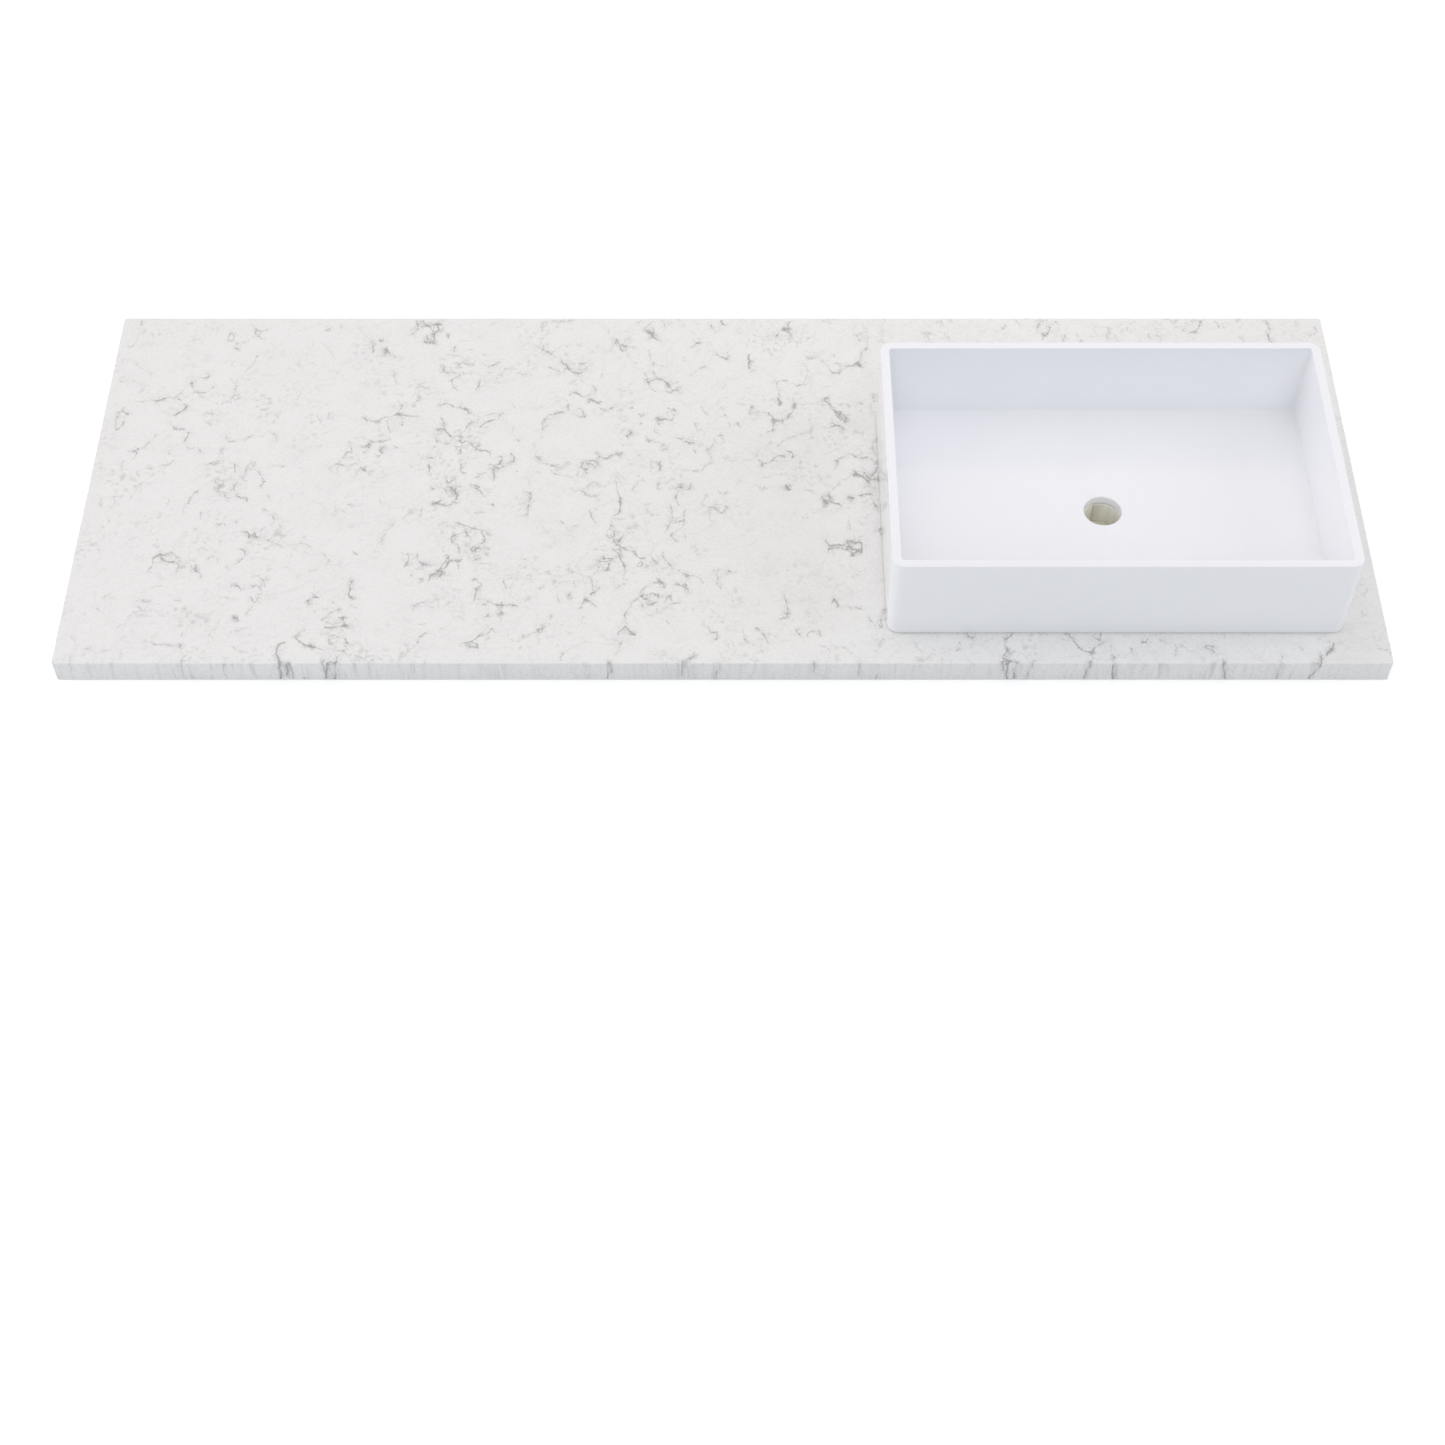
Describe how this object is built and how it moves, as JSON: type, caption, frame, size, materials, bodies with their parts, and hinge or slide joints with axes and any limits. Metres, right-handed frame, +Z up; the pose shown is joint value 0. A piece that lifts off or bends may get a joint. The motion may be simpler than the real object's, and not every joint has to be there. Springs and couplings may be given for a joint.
{
  "type": "vanity sink top",
  "caption": "Long quartz vanity top with a rectangular white vessel basin bedded at its right-hand end and a drain hole through basin and slab.",
  "frame": {"origin": "centre of the slab's underside, where the top rests on a cabinet", "axes": "+X along the slab to its right-hand end, where the basin is; +Y to the back edge, towards the wall; +Z up"},
  "size_m": [1.524, 0.5588, 0.1475],
  "materials": {
    "quartz": "polished white quartz with fine broken grey veins",
    "glaze": "smooth white glaze",
    "bedding_silicone": "satin, translucent white",
    "drain_silicone": "satin, translucent white"
  },
  "bodies": {
    "root": {"quartz_slab": "quartz", "vessel_basin": "glaze", "basin_silicone_bead": "bedding_silicone", "drain_seal_ring": "drain_silicone"}
  },
  "joints": []
}
